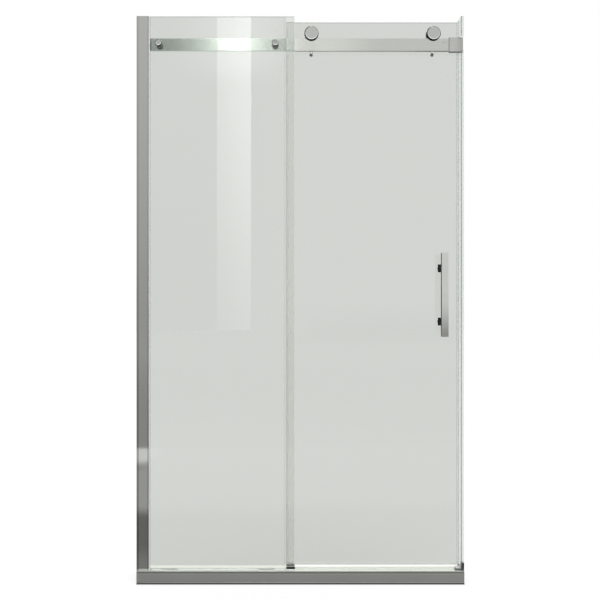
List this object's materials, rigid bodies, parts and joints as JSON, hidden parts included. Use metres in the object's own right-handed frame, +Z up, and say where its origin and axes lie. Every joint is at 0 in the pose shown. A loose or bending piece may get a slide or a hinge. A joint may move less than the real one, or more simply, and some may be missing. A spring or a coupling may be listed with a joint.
{
  "type": "shower door",
  "caption": "Frameless sliding glass shower door with a fixed side pane, a header rail with rollers, a wall channel, a strike jamb, a bar handle and a sill",
  "frame": {"origin": "middle of the width and depth, on the floor under the sill", "axes": "+X to the right seen from outside, +Y into the shower, +Z up"},
  "size_m": [1.154, 0.082, 1.997],
  "materials": {
    "sill_metal": "satin anodised",
    "channel_metal": "polished anodised",
    "chrome": "polished",
    "screw_steel": "plain stainless",
    "bearing_steel": "ground",
    "glass": "clear toughened, ground edges",
    "clear_vinyl": "clear soft plastic",
    "milky_vinyl": "white soft plastic",
    "white_nylon": "self-lubricating, moulded",
    "black_plastic": "moulded",
    "grey_plastic": "moulded",
    "wheel_plastic": "turned acetal",
    "bumper_rubber": "soft"
  },
  "bodies": {
    "frame": {"sill": "sill_metal", "sill_end_caps": "grey_plastic", "water_bar": "clear_vinyl", "wall_channel": "channel_metal", "channel_plug": "grey_plastic", "glazing_gaskets": "milky_vinyl", "fixed_pane": "glass", "fixed_pane_foot_seal": "clear_vinyl", "setting_blocks": "milky_vinyl", "header_rail": "chrome", "panel_bolts": "screw_steel", "panel_bolt_caps": "chrome", "panel_spacers": "chrome", "panel_washers": "clear_vinyl", "panel_bushes": "clear_vinyl", "rail_bracket_left": "chrome", "rail_bracket_right": "chrome", "bracket_set_screws": "screw_steel", "rail_stop_left": "chrome", "rail_stop_right": "chrome", "stop_bumpers": "bumper_rubber", "stop_screws": "screw_steel", "strike_jamb": "clear_vinyl", "jamb_seal": "clear_vinyl", "jamb_foot": "black_plastic", "corner_dam": "grey_plastic", "jamb_cap": "milky_vinyl", "centre_guide": "black_plastic", "guide_pads": "white_nylon", "guide_screws": "screw_steel"},
    "door": {"sliding_pane": "glass", "edge_seal": "clear_vinyl", "eccentric_bushes": "clear_vinyl", "roller_washers": "clear_vinyl", "lift_pins": "chrome", "lift_pin_nuts": "chrome", "lift_pin_washers": "clear_vinyl", "handle_bar": "chrome", "handle_post_upper": "chrome", "handle_post_lower": "chrome", "handle_screws": "screw_steel", "handle_knobs": "chrome", "handle_washers": "clear_vinyl", "roller_axle_left": "screw_steel", "roller_cap_left": "chrome", "roller_boss_left": "chrome", "roller_disc_left": "chrome", "bearing_inner_left": "bearing_steel", "roller_axle_right": "screw_steel", "roller_cap_right": "chrome", "roller_boss_right": "chrome", "roller_disc_right": "chrome", "bearing_inner_right": "bearing_steel"},
    "left_wheel": {"wheel_left": "wheel_plastic", "bearing_outer_left": "bearing_steel", "bearing_balls_left": "bearing_steel"},
    "right_wheel": {"wheel_right": "wheel_plastic", "bearing_outer_right": "bearing_steel", "bearing_balls_right": "bearing_steel"}
  },
  "joints": [
    {"name": "door_slide", "type": "slide", "parent": "frame", "child": "door", "axis": [-1, 0, 0], "range_m": [0, 0.455]},
    {"name": "left_wheel_spin", "type": "hinge", "parent": "door", "child": "left_wheel", "pos_m": [0.04, 0.004, 1.9418], "axis": [0, 1, 0], "continuous": true},
    {"name": "right_wheel_spin", "type": "hinge", "parent": "door", "child": "right_wheel", "pos_m": [0.473, 0.004, 1.9418], "axis": [0, 1, 0], "continuous": true}
  ],
  "couplings": [
    {"joint": "left_wheel_spin", "follows": "door_slide", "rad_per_m": -58.824},
    {"joint": "right_wheel_spin", "follows": "door_slide", "rad_per_m": -58.824}
  ]
}
